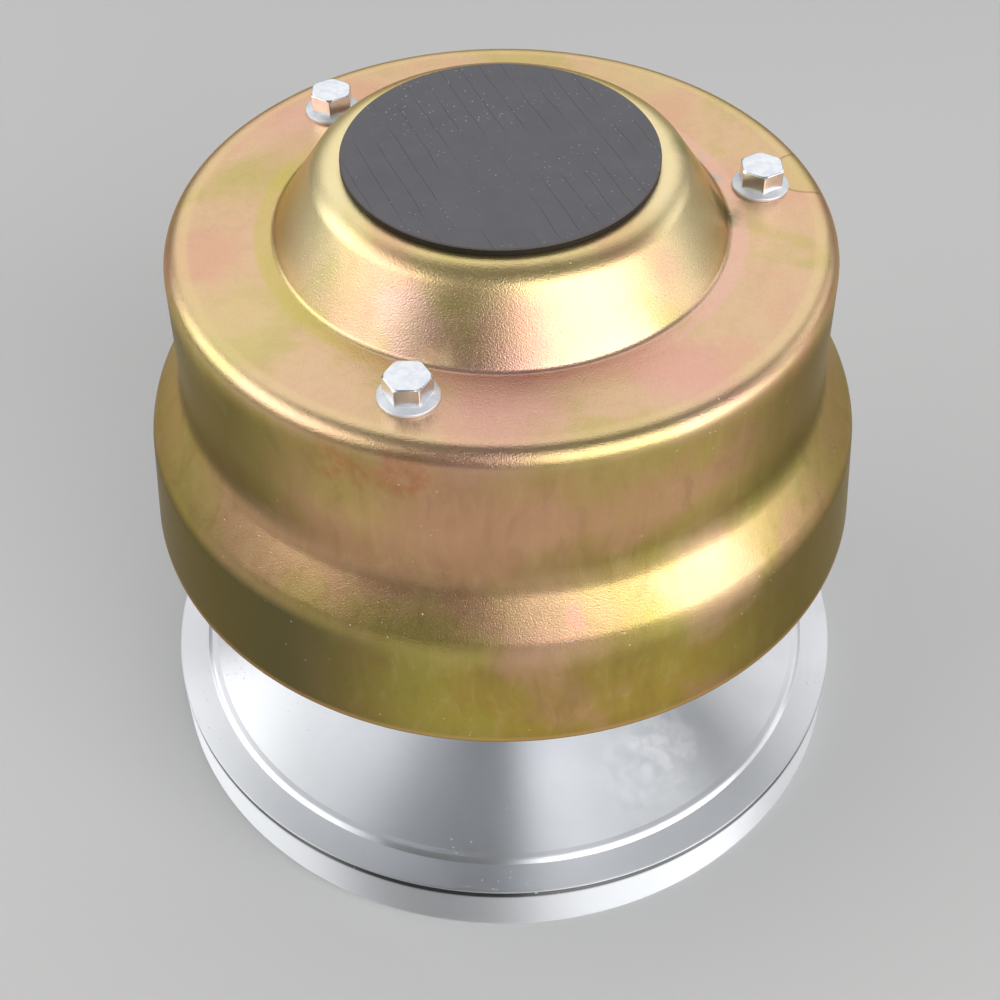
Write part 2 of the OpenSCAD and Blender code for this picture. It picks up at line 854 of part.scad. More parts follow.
// Clips on both ends of each weight pin
module weight_pin_clips() {
    clip_y = ear_in + ear_t;
    bore_r = weight_pin_r + seat_fit;
    color("dimgray")
        for (i = [0:arms - 1], side = [0, 1])
            at_arm(i)
                mirror([0, side, 0])
                    difference() {
                        cross_bar(pivot_r, pivot_z, weight_pin_r + clip_w, clip_y, clip_y + clip_t);
                        cross_bar(pivot_r, pivot_z, bore_r, clip_y - 1, clip_y + clip_t + 1);
                    }
}

// Roller between the two cheeks of arm i
module roller(i) {
    bore_r = roller_pin_r + run_fit + roller_bushing_wall + seat_fit;
    color("dimgray")
        at_arm(i)
            translate([roller_pos_r, 0, roller_z])
                rotate([90, 0, 0])
                    rotate_extrude()
                        polygon([
                            [bore_r, -roller_half_w],
                            [roller_r - small, -roller_half_w],
                            [roller_r, -roller_half_w + small],
                            [roller_r, roller_half_w - small],
                            [roller_r - small, roller_half_w],
                            [bore_r, roller_half_w]
                        ]);
}

// Bushing inside the roller of arm i
module roller_bushing(i) {
    bore_r = roller_pin_r + run_fit;
    outer_r = bore_r + roller_bushing_wall;
    color("peru")
        at_arm(i)
            difference() {
                cross_bar(roller_pos_r, roller_z, outer_r, -roller_half_w, roller_half_w);
                cross_bar(roller_pos_r, roller_z, bore_r, -roller_half_w - 1, roller_half_w + 1);
            }
}

// Roller centre seen from a flyweight when the clutch has shifted by the share s,
// with x along the flyweight and y towards the shaft
function roller_seen(s) =
    let (
        angle = weight_rest - weight_swing * s,
        out = roller_pos_r - pivot_r,
        up = roller_z - pivot_z + shift_travel * s
    )
    [out * cos(angle) + up * sin(angle), -out * sin(angle) + up * cos(angle)];

// Point of the cam face that the roller touches at the share s, one running gap clear of it
function cam_point(s) =
    let (
        step = 0.01,
        along = unit(roller_seen(s + step) - roller_seen(s - step))
    )
    roller_seen(s) + (roller_r + side_gap) * [-along.y, along.x];

// Flyweight of arm i, with the cam face that the roller follows
module flyweight(i) {
    cam_steps = 14;
    cam = [for (k = [-1:cam_steps + 1]) cam_point(k / cam_steps)];
    tip = cam[len(cam) - 1];
    nose = 5;
    back = [
        tip + [nose, bury],
        tip + [nose, weight_depth - bury],
        tip + [bury, weight_depth],
        [tip.x * 0.6, tip.y + weight_depth + small],
        [weight_eye_r + 2, weight_eye_r + 3],
        [0, weight_eye_r]
    ];
    color("slategray")
        at_arm(i)
            translate([pivot_r, 0, pivot_z])
                rotate([0, -weight_rest, 0])
                    upright(-weight_half_w, weight_half_w)
                        difference() {
                            union() {
                                circle(r = weight_eye_r);
                                polygon(concat([[0, -weight_eye_r]], cam, back));
                            }
                            circle(r = weight_bushing_r + seat_fit);
                            translate(rivet_place())
                                circle(r = rivet_r + seat_fit);
                        }
}

// Middle of the rivet in a flyweight
function rivet_place() =
    let (p = cam_point(0.45))
    [p.x - 2, p.y + rivet_r + 3];

// Bushing in the eye of flyweight i
module weight_bushing(i) {
    color("peru")
        at_arm(i)
            difference() {
                cross_bar(pivot_r, pivot_z, weight_bushing_r, -weight_half_w, weight_half_w);
                cross_bar(pivot_r, pivot_z, weight_pin_r + run_fit, -weight_half_w - 1, weight_half_w + 1);
            }
}

// Rivet that tunes the mass of flyweight i
module weight_rivet(i) {
    half = weight_half_w + rivet_head_h;
    place = rivet_place();
    color("silver")
        at_arm(i)
            translate([pivot_r, 0, pivot_z])
                rotate([0, -weight_rest, 0])
                    union() {
                        cross_bar(place.x, place.y, rivet_r, -half, half);
                        cross_bar(place.x, place.y, rivet_r + 1, weight_half_w, half);
                        cross_bar(place.x, place.y, rivet_r + 1, -half, -weight_half_w);
                    }
}

// Soft plug that closes the opening over the crankshaft bolt
module dust_plug() {
    skirt_r = cover_hole_r - side_gap;
    color("darkslategray")
        rotate_extrude()
            polygon([
                [0, land_z],
                [skirt_r - cap_skirt_wall, land_z],
                [skirt_r - cap_skirt_wall, land_z - cap_skirt_h],
                [skirt_r - small, land_z - cap_skirt_h],
                [skirt_r, land_z - cap_skirt_h + small],
                [skirt_r, land_z],
                [cap_r, land_z],
                [cap_r, land_z + cap_t - small],
                [cap_r - small, land_z + cap_t],
                [0, land_z + cap_t]
            ]);
}

fixed_sheave();
clutch_post();
thrust_washer();
needle_bearing();
lower_spring_seat();
shift_spring();
spider();
spider_nut();
drive_buttons();
roller_pins();
roller_pin_clips();
idler_sleeve();
moveable_sheave();
sheave_bushing();
upper_spring_seat();
cover();
cover_bolts();
weight_pins();
weight_pin_clips();
roller(0);  // roller_1
roller(1);  // roller_2
roller(2);  // roller_3
roller_bushing(0);  // roller_bushing_1
roller_bushing(1);  // roller_bushing_2
roller_bushing(2);  // roller_bushing_3
flyweight(0);  // flyweight_1
flyweight(1);  // flyweight_2
flyweight(2);  // flyweight_3
weight_bushing(0);  // weight_bushing_1
weight_bushing(1);  // weight_bushing_2
weight_bushing(2);  // weight_bushing_3
weight_rivet(0);  // weight_rivet_1
weight_rivet(1);  // weight_rivet_2
weight_rivet(2);  // weight_rivet_3
dust_plug();
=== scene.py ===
# %% [markdown]
# # Drive clutch
# A belt clutch as it stands on a bench: a turned aluminium sheave at the bottom, and above it a plated
# bell cover that hides the flyweights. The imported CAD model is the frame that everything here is
# built around. Its pieces stay where they are, and a piece that needs a finer surface is made
# again on the same sizes and takes its node's place.

import json
import math

import bmesh
import bpy
from mathutils import Matrix, Vector


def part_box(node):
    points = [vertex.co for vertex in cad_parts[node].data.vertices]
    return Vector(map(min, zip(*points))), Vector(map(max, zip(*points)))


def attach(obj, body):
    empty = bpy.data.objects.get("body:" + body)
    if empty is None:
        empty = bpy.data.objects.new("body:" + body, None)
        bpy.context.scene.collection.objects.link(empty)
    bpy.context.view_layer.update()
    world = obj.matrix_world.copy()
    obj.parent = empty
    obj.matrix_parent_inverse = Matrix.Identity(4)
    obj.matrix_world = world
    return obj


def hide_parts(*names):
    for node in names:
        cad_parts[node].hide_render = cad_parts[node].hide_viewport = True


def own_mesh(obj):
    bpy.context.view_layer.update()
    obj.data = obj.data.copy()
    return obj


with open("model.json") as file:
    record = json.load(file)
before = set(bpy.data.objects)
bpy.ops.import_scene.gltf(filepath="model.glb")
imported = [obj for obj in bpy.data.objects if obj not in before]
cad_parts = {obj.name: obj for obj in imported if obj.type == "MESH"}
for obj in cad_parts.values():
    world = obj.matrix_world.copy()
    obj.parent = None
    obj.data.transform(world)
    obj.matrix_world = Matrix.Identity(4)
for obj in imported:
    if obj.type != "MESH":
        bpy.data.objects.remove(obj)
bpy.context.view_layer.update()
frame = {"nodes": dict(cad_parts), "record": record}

# %% [markdown]
# ## Camera
# The photograph looks down on the clutch from the front. The camera's place, turn and focal length
# were solved from the clutch's own circles, so the render and the photograph can be laid over each
# other. A matrix whose columns are the camera's right, up and backward directions is the plainest
# way to write a view that was solved and not chosen.

# %% Place the camera
MM = 0.001
FOCAL, SENSOR = 59.56, 36
CAMERA_AT = (0, -0.3293, 0.4092)
PITCH, YAW, ROLL = (math.radians(a) for a in (46.17, -0.162, 0.582))

ahead = Vector((math.sin(YAW) * math.cos(PITCH), math.cos(YAW) * math.cos(PITCH), -math.sin(PITCH)))
level = Vector((math.cos(YAW), -math.sin(YAW), 0))
under = ahead.cross(level)
right = math.cos(ROLL) * level + math.sin(ROLL) * under
down = -math.sin(ROLL) * level + math.cos(ROLL) * under

camera = bpy.data.objects.new("camera", bpy.data.cameras.new("camera"))
camera.data.lens = FOCAL
camera.data.sensor_width = SENSOR
camera.matrix_world = Matrix.Translation(CAMERA_AT) @ Matrix((right, -down, -ahead)).transposed().to_4x4()
bpy.context.collection.objects.link(camera)
bpy.context.scene.camera = camera
print("camera looks along", [round(x, 3) for x in ahead])

# %% [markdown]
# ## Turning a profile
# Nearly every piece of a clutch is turned on a lathe or spun over a form, so one helper makes most
# of them. A wire is drawn through the profile's corners, a vertex bevel rounds each corner, and the
# wire is spun round the shaft axis. Rounding the flat profile first costs nothing, while bevelling
# the finished solid would have to find the same edges again among thousands of faces.


# %% Draw a profile
def reach_of_round(before, here, after, radius):
    """How far a round of that radius reaches along the two sides of a corner."""
    turn = (here - before).angle(after - here)
    return radius * math.tan(turn / 2)


def profile(corners, closed=True, segments=8):
    """A wire in the plane y = 0 through corners (radius, height, round), all in millimetres."""
    wire = bmesh.new()
    places = [Vector((r * MM, 0, z * MM)) for r, z, _ in corners]
    points = [wire.verts.new(p) for p in places]
    count = len(points)
    for i in range(count if closed else count - 1):
        wire.edges.new((points[i], points[(i + 1) % count]))
    for i, (_, _, radius) in enumerate(corners):
        if radius > 0:
            reach = reach_of_round(places[i - 1], places[i], places[(i + 1) % count], radius * MM)
            bmesh.ops.bevel(wire, geom=[points[i]], offset=reach, offset_type="OFFSET", segments=segments,
                            profile=0.5, affect="VERTICES", material=-1, clamp_overlap=False)
    return wire


# %% [markdown]
# A long straight side next to a small round would shade as if it were bent, because its normals are
# shared with the round. Two extra points near the ends of each long side keep the bend where it
# belongs. Modellers call them holding edges.

# %% Hold the long sides straight
HOLD = 0.5 * MM
LONG = 3 * MM


def hold_sides(wire):
    for side in [e for e in wire.edges if e.calc_length() > LONG]:
        first, last = side.verts
        other, _ = bmesh.utils.edge_split(side, first, HOLD / side.calc_length())
        rest = max((side, other), key=lambda e: e.calc_length())
        bmesh.utils.edge_split(rest, last, HOLD / rest.calc_length())


# %% Spin a wire round the shaft axis
AROUND, TOUCH = 288, 1e-7  # steps in a turn, and the distance in metres at which two points are one


def spun(wire, steps=AROUND):
    """Sweeps a wire round the shaft axis into a surface whose faces point outwards."""
    hold_sides(wire)
    bmesh.ops.spin(wire, geom=wire.verts[:] + wire.edges[:], cent=(0, 0, 0), axis=(0, 0, 1), dvec=(0, 0, 0),
                   angle=2 * math.pi, steps=steps, use_merge=True, use_duplicate=False)
    bmesh.ops.remove_doubles(wire, verts=wire.verts[:], dist=TOUCH)
    bmesh.ops.recalc_face_normals(wire, faces=wire.faces[:])
    return wire


def turned(corners, steps=AROUND):
    """The closed solid that a closed profile sweeps; a side that lies on the axis is left out."""
    wire = profile(corners)
    middle = [e for e in wire.edges if all(abs(v.co.x) < TOUCH for v in e.verts)]
    bmesh.ops.delete(wire, geom=middle, context="EDGES")
    return spun(wire, steps)


# %% [markdown]
# A finished solid becomes an object at the origin, with its place in its mesh as the CAD nodes have
# it. It is shaded smooth, and edges sharper than the given angle stay crisp, as a machined edge does.

# %% Finish a solid as an object
CRISP = math.radians(35)


def shade(mesh):
    mesh.shade_smooth()
    mesh.set_sharp_from_angle(angle=CRISP)


def as_piece(name, solid):
    mesh = bpy.data.meshes.new(name)
    solid.to_mesh(mesh)
    solid.free()
    shade(mesh)
    piece = bpy.data.objects.new(name, mesh)
    bpy.context.collection.objects.link(piece)
    return piece


def combine(piece, tool, operation):
    """Unites a piece with a closed tool, cuts it by the tool, or keeps what the two share."""
    step = piece.modifiers.new("combine", "BOOLEAN")
    step.object, step.operation, step.solver = tool, operation, "EXACT"
    graph = bpy.context.evaluated_depsgraph_get()
    made = bpy.data.meshes.new_from_object(piece.evaluated_get(graph))
    piece.modifiers.remove(step)
    old = piece.data
    piece.data = made
    bpy.data.meshes.remove(old)
    made.name = piece.name
    shade(made)
    bpy.data.objects.remove(tool)


def report(piece):
    places = [v.co for v in piece.data.vertices]
    low, high = ([round(pick(p[i] for p in places) / MM, 1) for i in range(3)] for pick in (min, max))
    print(f"{piece.name}: {len(piece.data.polygons)} faces, from {low} to {high} mm")


# %% [markdown]
# ## Bell cover
# The cover is one steel sheet, 1.6 mm thick, pressed over a form and plated. Its path runs from the lip
# up the leaning skirt, in over a bend, up the neck, round onto a flat ring and over a raised cone to the
# opening. The outer path alone is spun, and solidify gives it the sheet's thickness inwards, so both
# sides stay parallel through every bend. The sheet's cut edges then get a small bevel.

# %% Spin the cover's sheet
SHEET, SKIRT_IN, SKIRT_UP = 1.6, 2.7, 29.5
LEAN = math.atan(SKIRT_IN / SKIRT_UP)
SKIRT_BEND, RING_BORDER_R, CONE_FOOT_R, CONE_TOP_R, OPENING_R, CONE_H = 14, 82.4, 55.7, 43.5, 35, 18.7
lip_r, land_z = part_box("cover")[1].x / MM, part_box("cover")[1].z / MM
lip_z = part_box("cover")[0].z / MM + SHEET * math.sin(LEAN)
ring_z = land_z - CONE_H

cover_path = [
    (lip_r, lip_z, 0),
    (lip_r - SKIRT_IN, lip_z + SKIRT_UP, SKIRT_BEND),
    (83.3, lip_z + 44.5, SKIRT_BEND),
    (RING_BORDER_R, ring_z, 4.8),
    (CONE_FOOT_R, ring_z, 1.8),
    (CONE_TOP_R, land_z, 7.5),
    (OPENING_R, land_z, 0),
]
sheet = spun(profile(cover_path, closed=False, segments=12))
if max(sheet.faces, key=lambda f: f.calc_center_median().z).normal.z < 0:
    bmesh.ops.reverse_faces(sheet, faces=sheet.faces[:])
bmesh.ops.solidify(sheet, geom=sheet.faces[:], thickness=SHEET * MM)
cut_edges = [e for e in sheet.edges if len(e.link_faces) == 2 and e.calc_face_angle() > math.radians(60)]
bmesh.ops.bevel(sheet, geom=cut_edges, offset=0.2 * MM, offset_type="OFFSET", segments=3, profile=0.5,
                affect="EDGES", material=-1)
bell_cover = as_piece("bell_cover", sheet)
report(bell_cover)

# %% [markdown]
# Three holes let the cover bolts through. They hide under the bolt flanges, and they are cut all the same,
# because a bolt that runs through solid sheet would be wrong.

# %% Drill the bolt holes
BOLT_R, BOLT_TURNS, BOLT_HOLE_R = 66.3, (12, 132, 252), 3.3


def rod(radius, z0, z1, sides=48):
    """A closed round bar along the shaft axis."""
    bar = bmesh.new()
    bmesh.ops.create_cone(bar, cap_ends=True, segments=sides, radius1=radius * MM, radius2=radius * MM,
                          depth=(z1 - z0) * MM, matrix=Matrix.Translation((0, 0, (z0 + z1) / 2 * MM)))
    return bar


def to_bolt(solid, turn):
    """Moves a solid from the shaft axis out to the bolt at that angle."""
    place = Matrix.Rotation(math.radians(turn), 4, "Z") @ Matrix.Translation((BOLT_R * MM, 0, 0))
    bmesh.ops.transform(solid, matrix=place, verts=solid.verts[:])
    return solid


for turn in BOLT_TURNS:
    drill = to_bolt(rod(BOLT_HOLE_R, ring_z - 5, ring_z + 2), turn)
    combine(bell_cover, as_piece("drill", drill), "DIFFERENCE")
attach(bell_cover, "moving_half")
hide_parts("cover")
report(bell_cover)

# %% [markdown]
# ## Cover bolts
# Each bolt is forged in one piece: a hexagon with a round bevel, and a sloping flange under it. The
# bevel is what a lathe leaves when it cuts the hexagon's corners, so the head is made the same way:
# a six-sided prism keeps only what it shares with a turned cone. A bevel modifier would give straight
# chamfers in place of those curved ones. The flange and the shank are turned and united with the head.

# %% Shape a head
HEAD_FLATS, HEAD_H, FLANGE_H, FLANGE_R, SHANK_R, SHANK_LEN = 10, 6.2, 1.6, 7.1, 3, 18
corner_r = HEAD_FLATS / 2 / math.cos(math.radians(30))
top_r = HEAD_FLATS / 2 + 0.1


def hexagon(z0, z1):
    """A hexagonal bar with one corner on the x axis and softened edges."""
    prism = rod(corner_r, z0, z1, sides=6)
    bmesh.ops.rotate(prism, cent=(0, 0, 0), matrix=Matrix.Rotation(math.radians(30), 3, "Z"),
                     verts=prism.verts[:])
    edges = [e for e in prism.edges if max(v.co.z for v in e.verts) > (z1 - 0.1) * MM]
    bmesh.ops.bevel(prism, geom=edges, offset=0.3 * MM, offset_type="OFFSET", segments=3, profile=0.5,
                    affect="EDGES", material=-1)
    return prism


def head_cone():
    """The turned blank that cuts off the corners of a head."""
    return turned([
        (0, ring_z, 0), (corner_r + 1, ring_z, 0), (corner_r + 1, ring_z + HEAD_H - 1.4, 0),
        (top_r, ring_z + HEAD_H, 0.15), (0, ring_z + HEAD_H, 0),
    ], steps=96)


def flange_and_shank():
    """The turned flange with the shank under it, whose end is bevelled."""
    return turned([
        (0, ring_z - SHANK_LEN, 0), (SHANK_R - 0.4, ring_z - SHANK_LEN, 0),
        (SHANK_R, ring_z - SHANK_LEN + 0.4, 0), (SHANK_R, ring_z, 0),
        (FLANGE_R, ring_z, 0.15), (FLANGE_R, ring_z + 0.8, 0.3), (corner_r + 0.2, ring_z + 1.2, 2),
        (corner_r - 1, ring_z + FLANGE_H, 0), (0, ring_z + FLANGE_H, 0),
    ], steps=96)


# %% Forge the bolts
def bolt(name, place, head_turn):
    """One bolt at the angle place; head_turn is where a corner of its head points."""
    head = as_piece(name, hexagon(ring_z + 0.7, ring_z + HEAD_H))
    combine(head, as_piece("head_cone", head_cone()), "INTERSECT")
    combine(head, as_piece("flange", flange_and_shank()), "UNION")
    turn = Matrix.Rotation(math.radians(head_turn), 4, "Z")
    out = Matrix.Rotation(math.radians(place), 4, "Z") @ Vector((BOLT_R * MM, 0, 0))
    head.data.transform(Matrix.Translation(out) @ turn)
    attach(head, "moving_half")
    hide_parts("cover_bolts")
    report(head)
    return head


bolts = [bolt(f"cover_bolt_{i + 1}", BOLT_TURNS[i], head_turn) for i, head_turn in enumerate((30, 30, 0))]

# %% [markdown]
# ## Dust plug
# A moulded rubber disc lies on the cone's land and plugs the opening with a short skirt. Its edges are
# soft, and its top sinks a little towards the middle, which catches the light unevenly as rubber does.

# %% Turn the dust plug
plug_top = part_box("dust_plug")[1].z / MM
PLUG_R, PLUG_SKIRT_R, PLUG_WALL, PLUG_DEPTH = 38, 34.7, 2.2, 5
dust_disc = as_piece("dust_disc", turned([
    (0, land_z, 0),
    (PLUG_SKIRT_R - PLUG_WALL, land_z, 0.5),
    (PLUG_SKIRT_R - PLUG_WALL, land_z - PLUG_DEPTH, 0.3),
    (PLUG_SKIRT_R, land_z - PLUG_DEPTH, 0.6),
    (PLUG_SKIRT_R, land_z, 0.2),
    (PLUG_R, land_z, 0.2),
    (PLUG_R, plug_top, 0.4),
    (PLUG_R - 6, plug_top - 0.02, 2),
    (0, plug_top - 0.25, 0),
]))
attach(dust_disc, "plug")
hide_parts("dust_plug")
report(dust_disc)

# %% [markdown]
# ## Fixed sheave
# The lower sheave is turned from an aluminium casting. Its profile has a bevelled foot, a groove with a
# sloping side in the rim's wall, a thin lip, a flat land, a rounded step and the long belt face. Behind
# the face, twelve ribs join the boss to the rim. One rib is drawn and extruded, spin with duplicates
# sets the others round the shaft, and a union makes them one body with the turned part.

# %% Turn the sheave
RIM_R, RIM_H, LAND_R, STEP_R, STEP_Z = 99, 17.9, 90.5, 88, 19
GROOVE_R, GROOVE_LOW, GROOVE_SLOPE_END, GROOVE_HIGH = 97.8, 15, 16.3, 17.4
SLOPE, WEB, BOSS_R, RIM_IN_R = math.tan(math.radians(13)), 7, 30, 93
BORE_R, BOSS_TOP, RECESS_R, RECESS_H = 19.02, 34.276, 23.52, 4


def face_z(r):
    """The height of the belt face at that radius."""
    return STEP_Z + (STEP_R - r) * SLOPE


belt_sheave = as_piece("belt_sheave", turned([
    (98.2, 0, 0.15),
    (RIM_R, 2.2, 0.15),
    (RIM_R, GROOVE_LOW, 0.15),
    (GROOVE_R, GROOVE_SLOPE_END, 0.15),
    (GROOVE_R, GROOVE_HIGH, 0.08),
    (RIM_R, GROOVE_HIGH, 0.08),
    (RIM_R, RIM_H, 0.15),
    (LAND_R, RIM_H, 0.25),
    (LAND_R - 1, STEP_Z, 1.2),
    (STEP_R - 0.3, face_z(STEP_R - 0.3), 0.4),
    (24, face_z(24), 0.3),
    (23.5, BOSS_TOP, 0.2),
    (BORE_R, BOSS_TOP, 0),
    (BORE_R, RECESS_H, 0),
    (RECESS_R, RECESS_H, 0),
    (RECESS_R, 0, 0.2),
    (BOSS_R, 0, 1),
    (BOSS_R, face_z(BOSS_R) - WEB, 2),
    (RIM_IN_R, face_z(RIM_IN_R) - WEB, 2),
    (RIM_IN_R, 0, 1),
]))

# %% Add the ribs
RIBS, RIB_T, RIB_Z = 12, 4, 4

rib = profile([
    (BOSS_R - 1, RIB_Z, 0), (RIM_IN_R + 1, RIB_Z, 0),
    (RIM_IN_R + 1, face_z(RIM_IN_R) - WEB + 2, 0), (BOSS_R - 1, face_z(BOSS_R) - WEB + 2, 0),
])
bmesh.ops.contextual_create(rib, geom=rib.edges[:])
grown = bmesh.ops.extrude_face_region(rib, geom=rib.faces[:])["geom"]
far_side = [g for g in grown if isinstance(g, bmesh.types.BMVert)]
bmesh.ops.translate(rib, vec=(0, RIB_T * MM, 0), verts=far_side)
bmesh.ops.translate(rib, vec=(0, -RIB_T / 2 * MM, 0), verts=rib.verts[:])
foot = [e for e in rib.edges if all(abs(v.co.z - RIB_Z * MM) < 1e-6 for v in e.verts)
        and abs(e.verts[0].co.x - e.verts[1].co.x) > MM]
bmesh.ops.bevel(rib, geom=foot, offset=0.6 * MM, offset_type="OFFSET", segments=3, profile=0.5,
                affect="EDGES", material=-1)
bmesh.ops.rotate(rib, cent=(0, 0, 0), matrix=Matrix.Rotation(math.pi / RIBS, 3, "Z"), verts=rib.verts[:])
bmesh.ops.spin(rib, geom=rib.verts[:] + rib.edges[:] + rib.faces[:], cent=(0, 0, 0), axis=(0, 0, 1),
               dvec=(0, 0, 0), angle=2 * math.pi * (RIBS - 1) / RIBS, steps=RIBS - 1, use_duplicate=True)
bmesh.ops.recalc_face_normals(rib, faces=rib.faces[:])
combine(belt_sheave, as_piece("ribs", rib), "UNION")
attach(belt_sheave, "fixed_half")
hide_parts("fixed_sheave")
report(belt_sheave)

# %% [markdown]
# ## Shift spring
# The spring is round wire wound into an open coil whose end turns lie almost flat, so that it stands
# upright on its seats. Spin climbs by a vector at each step, so the coil is one round section spun three
# times: half a turn that hardly climbs, the open turns, and half a flat turn again.

# %% Wind the spring
WIRE_D, COIL_R, FLAT_TURNS, OPEN_TURNS, SHIFT_TRAVEL = 3.6, 18.6, 0.5, 4, 24
FLAT_RISE = 0.18  # what a flat half turn climbs, as a share of the wire's thickness
WIRE_SIDES, TURN_STEPS = 24, 60
spring_low, spring_high = (corner.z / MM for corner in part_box("shift_spring"))
spring_length = spring_high - spring_low
flat_climb = FLAT_RISE * WIRE_D
open_climb = spring_length - WIRE_D - 2 * flat_climb

coil = bmesh.new()
start = Matrix.Translation((COIL_R * MM, 0, (spring_low + WIRE_D / 2) * MM))
bmesh.ops.create_circle(coil, cap_ends=False, segments=WIRE_SIDES, radius=WIRE_D / 2 * MM,
                        matrix=start @ Matrix.Rotation(math.pi / 2, 4, "X"))
front = coil.verts[:] + coil.edges[:]
for turns, climb in ((FLAT_TURNS, flat_climb), (OPEN_TURNS, open_climb), (FLAT_TURNS, flat_climb)):
    steps = round(turns * TURN_STEPS)
    wound = bmesh.ops.spin(coil, geom=front, cent=(0, 0, 0), axis=(0, 0, 1), dvec=(0, 0, climb * MM / steps),
                           angle=2 * math.pi * turns, steps=steps, use_merge=False, use_duplicate=False)
    front = wound["geom_last"]
bmesh.ops.holes_fill(coil, edges=[e for e in coil.edges if e.is_boundary], sides=WIRE_SIDES)
bmesh.ops.recalc_face_normals(coil, faces=coil.faces[:])
coil_spring = as_piece("coil_spring", coil)
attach(coil_spring, "fixed_half")
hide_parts("shift_spring")
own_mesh(coil_spring)
report(coil_spring)


# %% [markdown]
# ## Shader arithmetic
# Patterns such as smudges, grain and stains are sums and products of a few noises. Written as nodes they
# would fill pages, so a small class wraps a socket: a sum, a product or a difference of two wrapped
# sockets adds the Math node that does it. A second class holds one material and adds its nodes.


# %% Wrap a socket
class Field:
    """A number that varies over a surface. Arithmetic on it adds Math nodes to its finish."""

    def __init__(self, finish, socket):
        self.finish, self.socket = finish, socket

    def maths(self, operation, *terms):
        return self.finish.add("ShaderNodeMath", {"operation": operation}, dict(enumerate(terms)))

    def __add__(self, other):
        return self.maths("ADD", self, other)

    def __sub__(self, other):
        return self.maths("SUBTRACT", self, other)

    def __rsub__(self, other):
        return self.maths("SUBTRACT", other, self)

    def __mul__(self, other):
        return self.maths("MULTIPLY", self, other)

    def __truediv__(self, other):
        return self.maths("DIVIDE", self, other)

    def __rtruediv__(self, other):
        return self.maths("DIVIDE", other, self)

    def __pow__(self, other):
        return self.maths("POWER", self, other)

    __radd__, __rmul__ = __add__, __mul__

    def ramp(self, low, high):
        """0 below low, 1 above high, and a smooth rise between."""
        return self.finish.add("ShaderNodeMapRange", {"interpolation_type": "SMOOTHSTEP"},
                               {0: self, 1: low, 2: high}, 0)


